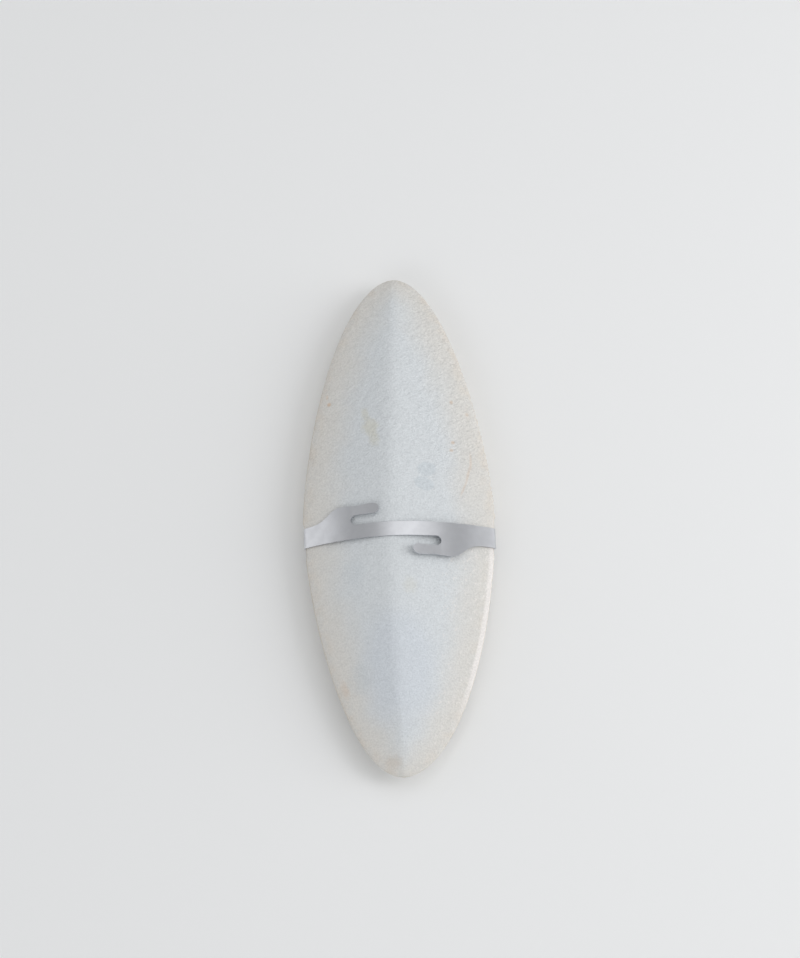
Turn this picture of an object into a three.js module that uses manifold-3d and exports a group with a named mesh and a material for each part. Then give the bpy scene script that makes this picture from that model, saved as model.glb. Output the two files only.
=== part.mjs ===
// A dried cuttlebone lying on its belly, with the sprung sheet-metal clip that hangs it on cage wires.
// Millimetres. +X runs across the bone, +Y towards its front (broad-lobed) end, +Z up through its back.
// The origin is the middle of the bounding box at the level of the surface that the bone lies on.
import * as THREE from "three";
import { mergeVertices } from "three/addons/utils/BufferGeometryUtils.js";
import Module from "manifold-3d";

const wasm = await Module();
wasm.setup();

// ---- Driving dimensions of the bone ----
const HALF_LENGTH = 76.5;
const HALF_WIDTH = 28.1;
const CREST_RISE = 9.1; // crest of the back above the shell's margin
const BELLY_DROP = 8.2; // belly below the margin
const RIM = 0.9; // half the thickness of the rounded margin
const RIM_SHARPNESS = 14; // how close to the margin the rim starts to round off
const BELLY_FLAT = 0.3; // worn off the lowest part of the belly, so that it lies still
const MARGIN_HEIGHT = BELLY_DROP + RIM - BELLY_FLAT;
const FRONT_OUTLINE = { power: 1.48, taper: 0.525 }; // half width = HALF_WIDTH * (1 - v^power)^taper
const REAR_OUTLINE = { power: 1.65, taper: 0.51 };
const FRONT_LEAN = 0.6; // the two tips lean to opposite sides a little
const REAR_LEAN = -1.05;
const FRONT_DROOP = 1.0; // the margin bends down a little towards both ends
const REAR_DROOP = 2.0;
const CREST_SHIFT = -2.5; // the crest runs a little to one side of the middle, most towards the rear
const CREST_SKEW = 1.4;
const ROOF_SHARE = 0.65; // how far the back is a roof with two flanks, and not a round arch
const CREST_SOFTNESS = 0.1; // half width of the rounded crest, as a share of the half width

// ---- Driving dimensions of the clip ----
const SHEET = 0.4;
const CLEARANCE = 0.3; // between the sheet and the bone
const CLIP_Y = -5.8;
const HOOKS_X = -1.0; // the top of the strap's arch, and the middle between the two hooks
const SEAT = { depth: 0.5, flat: 4.3, end: 6.0 }; // where the clip's ends have bedded into the soft margins
const STRAP_HALF_WIDTH = 2.1;
const END_HOOK = 3.95; // the strap's wider end, from its middle line to the edge on its hook's side
const SLOT_END = 12.95; // closed end of the slot that takes a cage wire
const SLOT_TOP = 5.0;
const FINGER_TIP = 4.75;
const FINGER_TOP = 7.95;
const FINGER_LIFT = 1.0; // the finger's tip springs this far off the strap's curve
const ARCH_POWER = 1.9; // the strap's arch, a little fuller than a parabola
const ARCH_END = 0.95; // where the arch meets the bend round the margin, as a share of the half width
const CLAW_REACH = 7.0; // how far each claw reaches in under the margin
const CLAW_TIP_RADIUS = 1.2;

// ---- Mesh density ----
const RINGS = 68;
const RING_SIDES = 48;
const SECTION_SAMPLES = 720;
const CURVE_STEPS = 6;

const smoothstep = THREE.MathUtils.smoothstep;

// Half width of the bone at v, which runs from -1 at the rear tip to +1 at the front tip.
function halfWidth(v) {
  const outline = v > 0 ? FRONT_OUTLINE : REAR_OUTLINE;
  return HALF_WIDTH * (1 - Math.abs(v) ** outline.power) ** outline.taper;
}

// How deep the clip's seat is pressed into both margins at v.
function seatDepth(v) {
  return SEAT.depth * (1 - smoothstep(Math.abs(HALF_LENGTH * v - CLIP_Y), SEAT.flat, SEAT.end));
}

function lean(v) {
  return (v > 0 ? FRONT_LEAN : REAR_LEAN) * v ** 6;
}

function marginHeight(v) {
  return MARGIN_HEIGHT - (v > 0 ? FRONT_DROOP : REAR_DROOP) * v * v;
}

function crestRise(v) {
  return CREST_RISE * (1 - Math.abs(v) ** 2.3) ** 0.75;
}

// The belly is full towards the front and thins to a shallow hollow slope towards the rear.
function bellyDrop(v) {
  if (v > 0) return BELLY_DROP * (1 - v ** 2.6) ** 0.7;
  return BELLY_DROP * Math.cos((Math.PI / 2) * Math.abs(v) ** 1.15) ** 1.6;
}

function rimHalfThickness(v) {
  return RIM * (1 - v ** 4) ** 0.5;
}

// How far the back has dropped at side position c (-1 to +1), from 0 at the crest to 1 at the margin.
function backDrop(c, v) {
  const crest = ((CREST_SHIFT + CREST_SKEW * v) * Math.sqrt(1 - v * v)) / HALF_WIDTH;
  const s = Math.min(1, Math.abs(c - crest) / (c > crest ? 1 - crest : 1 + crest));
  const soften = (share) => Math.hypot(share, CREST_SOFTNESS) - CREST_SOFTNESS;
  const roof = soften(s) / soften(1);
  return ROOF_SHARE * roof + (1 - ROOF_SHARE) * s * s;
}

// A point of the bone's skin, at v along it and an angle round its section (0 at +X, PI / 2 on the back).
function skinPoint(v, angle) {
  const c = Math.cos(angle);
  const rim = rimHalfThickness(v) * Math.sqrt(Math.max(0, 1 - Math.abs(c) ** RIM_SHARPNESS));
  const height =
    Math.sin(angle) >= 0
      ? crestRise(v) * (1 - backDrop(c, v)) + rim
      : -bellyDrop(v) * (1 - Math.abs(c) ** 2.4) ** 0.85 - rim;
  const side = halfWidth(v) - seatDepth(v) * c ** 8;
  return new THREE.Vector3(side * c + lean(v), HALF_LENGTH * v, Math.max(0, marginHeight(v) + height));
}

// Angles that divide the middle section's girth evenly, starting at the +X margin.
function evenAngles(count) {
  const angles = Array.from({ length: SECTION_SAMPLES + 1 }, (_, i) => (2 * Math.PI * i) / SECTION_SAMPLES);
  const points = angles.map((angle) => skinPoint(0, angle));
  const girth = [0];
  for (let i = 1; i < points.length; i++) girth.push(girth[i - 1] + points[i].distanceTo(points[i - 1]));
  const step = girth.at(-1) / count;
  return Array.from({ length: count }, (_, k) => angles[girth.findIndex((g) => g >= k * step - 1e-9)]);
}

// Stations along the bone, closer together towards the tips, and one at each edge of the clip's seats.
function stations(count) {
  const even = Array.from({ length: count - 1 }, (_, i) => -Math.cos((Math.PI * (i + 1)) / count));
  const edges = [-SEAT.end, -SEAT.flat, SEAT.flat, SEAT.end].map((y) => (CLIP_Y + y) / HALF_LENGTH);
  const apart = even.filter((v) => edges.every((edge) => Math.abs(v - edge) > 0.5 / HALF_LENGTH));
  return [...apart, ...edges].sort((a, b) => a - b);
}

function boneGeometry() {
  const angles = evenAngles(RING_SIDES);
  const rows = stations(RINGS);
  const points = rows.flatMap((v) => angles.map((angle) => skinPoint(v, angle)));
  const rear = points.push(skinPoint(-1, 0)) - 1;
  const front = points.push(skinPoint(1, 0)) - 1;
  const at = (row, side) => row * RING_SIDES + (side % RING_SIDES);
  const faces = [];
  for (let side = 0; side < RING_SIDES; side++) {
    faces.push(rear, at(0, side), at(0, side + 1));
    faces.push(front, at(rows.length - 1, side + 1), at(rows.length - 1, side));
    for (let row = 0; row + 1 < rows.length; row++) {
      const [a, b, c, d] = [at(row, side), at(row + 1, side), at(row + 1, side + 1), at(row, side + 1)];
      faces.push(a, b, c, a, c, d);
    }
  }
  const geometry = new THREE.BufferGeometry().setFromPoints(points);
  geometry.setIndex(faces);
  return geometry;
}

function solidFrom(geometry) {
  const bare = geometry.index ? geometry.toNonIndexed() : geometry.clone();
  bare.deleteAttribute("normal");
  bare.deleteAttribute("uv");
  const merged = mergeVertices(bare, 1e-4);
  const vertProperties = new Float32Array(merged.attributes.position.array);
  const triVerts = new Uint32Array(merged.index.array);
  return new wasm.Manifold(new wasm.Mesh({ numProp: 3, vertProperties, triVerts }));
}

function geometryFrom(solid) {
  const mesh = solid.getMesh();
  const geometry = new THREE.BufferGeometry();
  geometry.setAttribute("position", new THREE.BufferAttribute(new Float32Array(mesh.vertProperties), 3));
  geometry.setIndex(new THREE.BufferAttribute(new Uint32Array(mesh.triVerts), 1));
  return geometry;
}

// The bone's section under the clip, grown by a distance, from one claw's tip over the back to the other's.
// Above the margins the strap springs clear of the flanks in one even arch that touches only the crest.
function clipPath(distance) {
  const v = CLIP_Y / HALF_LENGTH;
  const section = evenAngles(SECTION_SAMPLES / 4).map((angle) => skinPoint(v, angle));
  const grown = section.map((point, i) => {
    const next = section[(i + 1) % section.length];
    const last = section.at(i - 1);
    const across = new THREE.Vector2(next.z - last.z, last.x - next.x).normalize();
    return new THREE.Vector2(point.x, point.z).addScaledVector(across, distance);
  });
  const margin = marginHeight(v);
  const inward = HALF_WIDTH - CLAW_REACH;
  const joinX = ARCH_END * HALF_WIDTH;
  const top = margin + crestRise(v) + rimHalfThickness(v) + distance;
  const bends = [1, -1].map((side) =>
    grown.filter((p) => (p.y > margin ? side * p.x > joinX : side * p.x > inward)).sort((a, b) => b.y - a.y),
  );
  const [right, left] = bends;
  const arch = [];
  const span = 2 * joinX;
  for (let i = 1; i < 36; i++) {
    const x = joinX - (span * i) / 36;
    const end = x > HOOKS_X ? right[0] : left[0];
    const share = Math.abs(x - HOOKS_X) / Math.abs(end.x - HOOKS_X);
    arch.push(new THREE.Vector2(x, top - (top - end.y) * share ** ARCH_POWER));
  }
  return [...right.reverse(), ...arch, ...left];
}

// The curved ribbon of sheet that the clip is cut from, far wider than the clip.
function ribbonSolid() {
  const outline = [...clipPath(CLEARANCE + SHEET), ...clipPath(CLEARANCE).reverse()];
  const depth = 4 * FINGER_TOP;
  const geometry = new THREE.ExtrudeGeometry(new THREE.Shape(outline), { depth, bevelEnabled: false });
  geometry.rotateX(Math.PI / 2);
  geometry.translate(0, CLIP_Y + depth / 2, 0);
  return solidFrom(geometry);
}

// Half of the clip's outline seen from above, from the -X end to the middle, with the hook at the +Y side.
function traceHalf(shape, turn) {
  const to = (x, y) => [turn * x, turn * y];
  const end = HALF_WIDTH + 4;
  const slotMiddle = (STRAP_HALF_WIDTH + SLOT_TOP) / 2;
  const slotRadius = (SLOT_TOP - STRAP_HALF_WIDTH) / 2;
  const knuckle = FINGER_TOP + 0.15;
  const waist = FINGER_TOP - 0.15;
  const under = SLOT_TOP - 0.12;
  shape.lineTo(...to(-end, END_HOOK));
  shape.lineTo(...to(-25.3, END_HOOK));
  shape.bezierCurveTo(...to(-22.4, END_HOOK + 0.1), ...to(-21, 4.8), ...to(-19.3, 6.4));
  shape.bezierCurveTo(...to(-18.1, 7.5), ...to(-17.2, knuckle), ...to(-15.5, knuckle));
  shape.bezierCurveTo(...to(-13.6, knuckle), ...to(-12, waist - 0.05), ...to(-10.3, waist));
  shape.bezierCurveTo(...to(-9.3, waist + 0.05), ...to(-8, FINGER_TOP + 0.05), ...to(-6.7, FINGER_TOP));
  shape.bezierCurveTo(...to(-5.5, FINGER_TOP - 0.05), ...to(-FINGER_TIP, 7.2), ...to(-FINGER_TIP, 6.35));
  shape.bezierCurveTo(...to(-FINGER_TIP, 5.5), ...to(-5.4, under), ...to(-6.5, under));
  shape.lineTo(...to(-SLOT_END + slotRadius, SLOT_TOP));
  shape.quadraticCurveTo(...to(-SLOT_END, SLOT_TOP), ...to(-SLOT_END, slotMiddle));
  shape.quadraticCurveTo(...to(-SLOT_END, STRAP_HALF_WIDTH), ...to(-SLOT_END + slotRadius, STRAP_HALF_WIDTH));
  shape.lineTo(...to(end, STRAP_HALF_WIDTH));
}

function prism(shape, x, low, high) {
  const geometry = new THREE.ExtrudeGeometry(shape, {
    depth: high - low,
    bevelEnabled: false,
    curveSegments: CURVE_STEPS,
  });
  geometry.translate(x, CLIP_Y, low);
  return solidFrom(geometry);
}

// The strap with its two hooks: the second half is the first one turned half round.
function strapPrism(low, high) {
  const shape = new THREE.Shape();
  shape.moveTo(-HALF_WIDTH - 4, -STRAP_HALF_WIDTH);
  traceHalf(shape, 1);
  traceHalf(shape, -1);
  return prism(shape, HOOKS_X, low, high);
}

// A claw narrows from the strap's end to a blunt tip under the bone.
function clawPrism(turn, low, high) {
  const to = (x, y) => [turn * x, turn * y];
  const tip = HALF_WIDTH - CLAW_REACH;
  const shape = new THREE.Shape();
  shape.moveTo(...to(-HALF_WIDTH - 4, -STRAP_HALF_WIDTH));
  shape.lineTo(...to(-HALF_WIDTH - 4, END_HOOK));
  shape.lineTo(...to(-HALF_WIDTH + 0.5, END_HOOK));
  shape.lineTo(...to(-tip - CLAW_TIP_RADIUS, CLAW_TIP_RADIUS));
  shape.quadraticCurveTo(...to(-tip, 0.8), ...to(-tip, 0));
  shape.quadraticCurveTo(...to(-tip, -0.8), ...to(-tip - CLAW_TIP_RADIUS, -CLAW_TIP_RADIUS));
  shape.lineTo(...to(-HALF_WIDTH + 0.5, -STRAP_HALF_WIDTH));
  return prism(shape, 0, low, high);
}

// Bends the fingers up out of the strap's curve: nothing at the slot's closed end, the full lift at the tip.
function liftFingers(geometry) {
  const position = geometry.attributes.position;
  const slotMiddle = (STRAP_HALF_WIDTH + SLOT_TOP) / 2;
  for (let i = 0; i < position.count; i++) {
    const x = position.getX(i) - HOOKS_X;
    const y = (position.getY(i) - CLIP_Y) * -Math.sign(x);
    if (y < slotMiddle || Math.abs(x) > SLOT_END) continue;
    const share = (SLOT_END - Math.abs(x)) / (SLOT_END - FINGER_TIP);
    position.setZ(i, position.getZ(i) + FINGER_LIFT * share ** 1.5);
  }
  return geometry;
}

function clipGeometry() {
  const split = marginHeight(CLIP_Y / HALF_LENGTH) - RIM;
  const outline = strapPrism(split, 3 * MARGIN_HEIGHT)
    .add(clawPrism(1, -1, split + 0.01))
    .add(clawPrism(-1, -1, split + 0.01));
  return liftFingers(geometryFrom(ribbonSolid().intersect(outline)));
}

function named(name, geometry, material) {
  const mesh = new THREE.Mesh(geometry, material);
  mesh.name = name;
  return mesh;
}

const chalk = new THREE.MeshStandardMaterial({ color: 0xd3d2cd, roughness: 0.9, metalness: 0 });
const steel = new THREE.MeshStandardMaterial({ color: 0xb4b6bd, roughness: 0.35, metalness: 1 });

const part = new THREE.Group();
part.add(named("cuttlebone", boneGeometry(), chalk));
part.add(named("clip", clipGeometry(), steel));

const box = new THREE.Box3().setFromObject(part);
part.position.set(-(box.min.x + box.max.x) / 2, -(box.min.y + box.max.y) / 2, -box.min.z);

export default part;
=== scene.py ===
# A dried cuttlebone in its sprung cage clip: the finished surfaces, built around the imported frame.
# Everything is in metres in the frame's own axes: +X across the bone, +Y towards its front, +Z up through its
# back. The bone's skin is one closed surface of two parameters, and the clip is a sheet bent along a path.

import logging
import math
from dataclasses import dataclass, field
from enum import Enum

import bmesh
import bpy
import numpy as np
from mathutils import Matrix, Vector


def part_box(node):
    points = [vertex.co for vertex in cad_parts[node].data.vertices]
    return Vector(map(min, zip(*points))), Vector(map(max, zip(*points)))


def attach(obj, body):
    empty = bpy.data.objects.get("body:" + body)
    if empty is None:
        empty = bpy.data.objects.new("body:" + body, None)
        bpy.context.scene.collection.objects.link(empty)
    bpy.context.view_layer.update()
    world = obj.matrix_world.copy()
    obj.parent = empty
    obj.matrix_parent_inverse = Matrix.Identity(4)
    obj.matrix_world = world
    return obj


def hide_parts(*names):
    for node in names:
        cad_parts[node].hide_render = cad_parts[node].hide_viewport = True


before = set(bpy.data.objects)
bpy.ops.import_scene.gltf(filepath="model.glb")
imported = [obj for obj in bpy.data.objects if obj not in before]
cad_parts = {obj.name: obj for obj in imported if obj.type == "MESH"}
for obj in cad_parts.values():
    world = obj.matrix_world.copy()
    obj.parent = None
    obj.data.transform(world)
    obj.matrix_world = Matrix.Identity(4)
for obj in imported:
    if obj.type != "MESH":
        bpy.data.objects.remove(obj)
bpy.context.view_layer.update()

MM = 0.001
Array = np.ndarray
Pair = tuple[float, float]
Triple = tuple[float, float, float]
Colour = Triple

log = logging.getLogger("cuttlebone")


def smoothstep(value: Array, low: float, high: float) -> Array:
    """Rises from 0 at low to 1 at high as 3t^2 - 2t^3; with low above high it falls instead.

    Args:
        value: The numbers to look up.
        low: Where the result is 0.
        high: Where the result is 1.

    Returns:
        Numbers from 0 to 1, shaped as value.
    """
    t = np.clip((value - low) / (high - low), 0.0, 1.0)
    return t * t * (3.0 - 2.0 * t)


def display(red: int, green: int, blue: int) -> Colour:
    """Turns a colour in display steps of 0 to 255 into the linear colour that shaders take."""
    steps = np.array((red, green, blue)) / 255.0
    knee, slope, offset, gamma = 0.04045, 12.92, 0.055, 2.4
    linear = np.where(steps <= knee, steps / slope, ((steps + offset) / (1.0 + offset)) ** gamma)
    return tuple(float(part) for part in linear)


class Slot(Enum):
    """The record's material slots."""

    CHALK = "chalk"
    STEEL = "steel"


class Grain:
    """Seeded smooth noise in space, for relief that belongs to a mesh itself."""

    CELLS = 48
    TURN = np.array(Matrix.Rotation(0.9, 3, Vector((1.0, 2.0, 1.5))))

    def __init__(self, seed: int) -> None:
        """Fills a repeating cube of lattice values between -1 and 1.

        Args:
            seed: The seed of the values.
        """
        self._values = np.random.default_rng(seed).uniform(-1.0, 1.0, (self.CELLS,) * 3)

    def at(self, points: Array, wavelength: float | Triple) -> Array:
        """Blends the values at the eight corners of each point's lattice cell, with smoothed weights.

        Args:
            points: Places in space, shaped (..., 3).
            wavelength: The lattice's pitch, one for all axes or one for each.

        Returns:
            Noise between -1 and 1, shaped (...).
        """
        cell = (points / np.asarray(wavelength)) @ self.TURN.T
        low = np.floor(cell).astype(int)
        share = cell - low
        share = share * share * (3.0 - 2.0 * share)
        total = np.zeros(points.shape[:-1])
        for corner in np.ndindex(2, 2, 2):
            x, y, z = np.moveaxis((low + corner) % self.CELLS, -1, 0)
            total += np.where(corner, share, 1.0 - share).prod(axis=-1) * self._values[x, y, z]
        return total


def closed_mesh(name: str, rings: Array, poles: Array) -> bpy.types.Object:
    """Makes a smooth closed mesh from rings of points with a pole at each end.

    Face corners run so that the outside is out when each ring turns from +X over +Z and the rings run to +Y.

    Args:
        name: The object's name.
        rings: Points shaped (rings, sides, 3).
        poles: The first and the last pole, shaped (2, 3).

    Returns:
        The new object, at the origin.
    """
    count, sides = rings.shape[:2]
    index = np.arange(count * sides).reshape(count, sides)
    closed = np.hstack((index, index[:, :1]))
    first = np.stack((np.full(sides, count * sides), closed[0, :-1], closed[0, 1:]), axis=-1)
    last = np.stack((np.full(sides, count * sides + 1), closed[-1, 1:], closed[-1, :-1]), axis=-1)
    mesh = bpy.data.meshes.new(name)
    points = np.vstack((rings.reshape(-1, 3), poles))
    mesh.from_pydata(points, [], [*grid_faces(closed).tolist(), *first.tolist(), *last.tolist()])
    smooth_faces(mesh)
    return link(name, mesh)


def grid_faces(index: Array) -> Array:
    """The four-sided faces of a grid of vertex numbers: each number with its next ones down and along."""
    return np.stack((index[:-1, :-1], index[1:, :-1], index[1:, 1:], index[:-1, 1:]), axis=-1).reshape(-1, 4)


def smooth_faces(mesh: bpy.types.Mesh) -> None:
    """Shades every face of a mesh smoothly."""
    mesh.polygons.foreach_set("use_smooth", np.ones(len(mesh.polygons), dtype=bool))


def link(name: str, data: bpy.types.ID) -> bpy.types.Object:
    """Puts a mesh, light or camera into the scene as an object of that name."""
    made = bpy.data.objects.new(name, data)
    bpy.context.scene.collection.objects.link(made)
    return made


def store(mesh: bpy.types.Mesh, name: str, values: Array) -> None:
    """Keeps one number for each vertex in a named attribute that a finish can read."""
    mesh.attributes.new(name, "FLOAT", "POINT").data.foreach_set("value", values.astype(np.float32).ravel())


class Shading:
    """A material's node tree, with a short call for each kind of node that the finishes use."""

    def __init__(self, name: str) -> None:
        """Starts a material with one Principled surface.

        Args:
            name: The material's name.
        """
        self.material = bpy.data.materials.new(name)
        self.material.use_nodes = True
        self.tree = self.material.node_tree
        self.surface = self.tree.nodes["Principled BSDF"]
        self.place = self.tree.nodes.new("ShaderNodeTexCoord").outputs["Object"]

    def _feed(self, socket: bpy.types.NodeSocket, value: object) -> None:
        """Links a socket to another node's output, or sets it to a plain value."""
        if isinstance(value, bpy.types.NodeSocket):
            self.tree.links.new(value, socket)
        else:
            socket.default_value = value

    @staticmethod
    def _opaque(colour: object) -> object:
        """Gives a plain colour its fourth number, and leaves a socket as it is."""
        return colour if isinstance(colour, bpy.types.NodeSocket) else (*colour, 1.0)

    def attribute(self, name: str) -> bpy.types.NodeSocket:
        """Reads one of the mesh's own numbers."""
        node = self.tree.nodes.new("ShaderNodeAttribute")
        node.attribute_name = name
        return node.outputs["Fac"]

    def math(self, operation: str, first: object, second: object = 0.0) -> bpy.types.NodeSocket:
        """Adds a Math node.

        Args:
            operation: Blender's name for the operation.
            first: The first number or socket.
            second: The second number or socket.

        Returns:
            The result's socket.
        """
        node = self.tree.nodes.new("ShaderNodeMath")
        node.operation = operation
        self._feed(node.inputs[0], first)
        self._feed(node.inputs[1], second)
        return node.outputs[0]

    def product(self, *factors: object) -> bpy.types.NodeSocket:
        """Multiplies any number of sockets and numbers together, from the first to the last."""
        total = factors[0]
        for factor in factors[1:]:
            total = self.math("MULTIPLY", total, factor)
        return total

    def ease(self, value: object, low: float, high: float) -> bpy.types.NodeSocket:
        """Adds a smooth step from 0 where value is low to 1 where it is high.

        Args:
            value: The number's socket.
            low: Where the result is 0.
            high: Where the result is 1; below low, the step falls.

        Returns:
            The result's socket.
        """
        node = self.tree.nodes.new("ShaderNodeMapRange")
        node.interpolation_type = "SMOOTHSTEP"
        falling = high < low
        for name, number in (("From Min", min(low, high)), ("From Max", max(low, high))):
            node.inputs[name].default_value = number
        node.inputs["To Min"].default_value = float(falling)
        node.inputs["To Max"].default_value = float(not falling)
        self._feed(node.inputs["Value"], value)
        return node.outputs["Result"]

    def noise(self, wavelength: float, detail: float = 2.0, stretch: Triple = (1.0, 1.0, 1.0),
              turn: float = 0.0, warp: float = 0.0) -> bpy.types.NodeSocket:
        """Adds a noise pattern fixed to the piece.

        Args:
            wavelength: The pattern's size in metres.
            detail: How many finer layers it has.
            stretch: How much longer the pattern is along each axis.
            turn: How far the stretched pattern is turned about Z, in radians.
            warp: How much the pattern is distorted.

        Returns:
            The socket of the noise, about 0.5.
        """
        mapping = self.tree.nodes.new("ShaderNodeMapping")
        mapping.vector_type = "TEXTURE"
        mapping.inputs["Scale"].default_value = tuple(wavelength * axis for axis in stretch)
        mapping.inputs["Rotation"].default_value = (0.0, 0.0, turn)
        node = self.tree.nodes.new("ShaderNodeTexNoise")
        node.inputs["Scale"].default_value = 1.0
        node.inputs["Detail"].default_value = detail
        node.inputs["Distortion"].default_value = warp
        self.tree.links.new(self.place, mapping.inputs["Vector"])
        self.tree.links.new(mapping.outputs["Vector"], node.inputs["Vector"])
        return node.outputs["Fac"]

    def blob(self, centre: Pair, radii: Pair, turn: float, ragged: float, wavelength: float,
             blur: float = 0.35) -> bpy.types.NodeSocket:
        """Adds a soft oval patch seen from above, 1 in its middle and 0 past its edge.

        Args:
            centre: The patch's middle, X and Y.
            radii: Its half sizes along X and Y before it is turned.
            turn: How far it is turned about Z, in radians.
            ragged: How much noise moves its edge, as a share of its radius.
            wavelength: The size of that noise.
            blur: Half the width of its soft edge, as a share of its radius.

        Returns:
            The socket of the patch's strength.
        """
        mapping = self.tree.nodes.new("ShaderNodeMapping")
        mapping.vector_type = "TEXTURE"
        mapping.inputs["Location"].default_value = (*centre, 0.0)
        mapping.inputs["Rotation"].default_value = (0.0, 0.0, turn)
        mapping.inputs["Scale"].default_value = (*radii, 1.0)
        flat = self.tree.nodes.new("ShaderNodeVectorMath")
        flat.operation = "MULTIPLY"
        flat.inputs[1].default_value = (1.0, 1.0, 0.0)
        length = self.tree.nodes.new("ShaderNodeVectorMath")
        length.operation = "LENGTH"
        self.tree.links.new(self.place, mapping.inputs["Vector"])
        self.tree.links.new(mapping.outputs["Vector"], flat.inputs[0])
        self.tree.links.new(flat.outputs["Vector"], length.inputs[0])
        reach = length.outputs["Value"]
        if ragged:
            shift = self.product(self.math("SUBTRACT", self.noise(wavelength), 0.5), 4.0 * ragged)
            reach = self.math("ADD", reach, shift)
        return self.ease(reach, 0.9 + blur, 0.9 - blur)

    def tint(self, share: object, below: object, above: object, blend: str = "MIX") -> bpy.types.NodeSocket:
        """Blends two colours.

        Args:
            share: How much of the second colour shows.
            below: The first colour or socket.
            above: The second colour or socket.
            blend: Blender's name for the way of blending.

        Returns:
            The blended colour's socket.
        """
        node = self.tree.nodes.new("ShaderNodeMix")
        node.data_type = "RGBA"
        node.blend_type = blend
        factor, first, second, result = node.inputs[0], node.inputs[6], node.inputs[7], node.outputs[2]
        self._feed(factor, share)
        self._feed(first, self._opaque(below))
        self._feed(second, self._opaque(above))
        return result

    def fade(self, pattern: object, share: object) -> bpy.types.NodeSocket:
        """Draws a pattern about 0.5 nearer to 0.5 where share is below 1."""
        return self.math("ADD", self.product(self.math("SUBTRACT", pattern, 0.5), share), 0.5)

    def shade(self, colour: object, pattern: object, depth: float) -> bpy.types.NodeSocket:
        """Darkens and lightens a colour by a pattern about 0.5.

        Args:
            colour: The colour's socket.
            pattern: The pattern's socket.
            depth: How far the pattern's whole range of 1 changes the colour.

        Returns:
            The changed colour's socket.
        """
        factor = self.math("ADD", self.product(pattern, depth), 1.0 - depth / 2.0)
        grey = self.tree.nodes.new("ShaderNodeCombineColor")
        for socket in grey.inputs:
            self._feed(socket, factor)
        return self.tint(1.0, colour, grey.outputs["Color"], "MULTIPLY")

    def bump(self, height: object, depth: float, under: object = None) -> bpy.types.NodeSocket:
        """Adds fine relief that the mesh is too coarse for.

        Args:
            height: The relief's pattern.
            depth: What a change of 1 in the pattern means, in metres.
            under: The normal of coarser relief, if any.

        Returns:
            The bumped normal's socket.
        """
        node = self.tree.nodes.new("ShaderNodeBump")
        node.inputs["Distance"].default_value = depth
        self._feed(node.inputs["Height"], height)
        if under is not None:
            self._feed(node.inputs["Normal"], under)
        return node.outputs["Normal"]

    def finish(self, colour: object, roughness: object, normal: object = None) -> bpy.types.Material:
        """Joins the patterns to the surface.

        Args:
            colour: The base colour.
            roughness: The roughness.
            normal: The bumped normal, if any.

        Returns:
            The finished material.
        """
        self._feed(self.surface.inputs["Base Color"], self._opaque(colour))
        self._feed(self.surface.inputs["Roughness"], roughness)
        if normal is not None:
            self._feed(self.surface.inputs["Normal"], normal)
        return self.material


YELLOWED = display(212, 207, 186)
BRUISED = display(200, 208, 214)
RUSTED = display(212, 170, 126)
BROWNED = display(205, 194, 182)


@dataclass(frozen=True)
class Mark:
    """One stain or fleck on the bone's back, with its place and half sizes in millimetres."""

    place: Pair
    radii: Pair
    colour: Colour
    strength: float
    turn: float
    ragged: float
    blur: float


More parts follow.
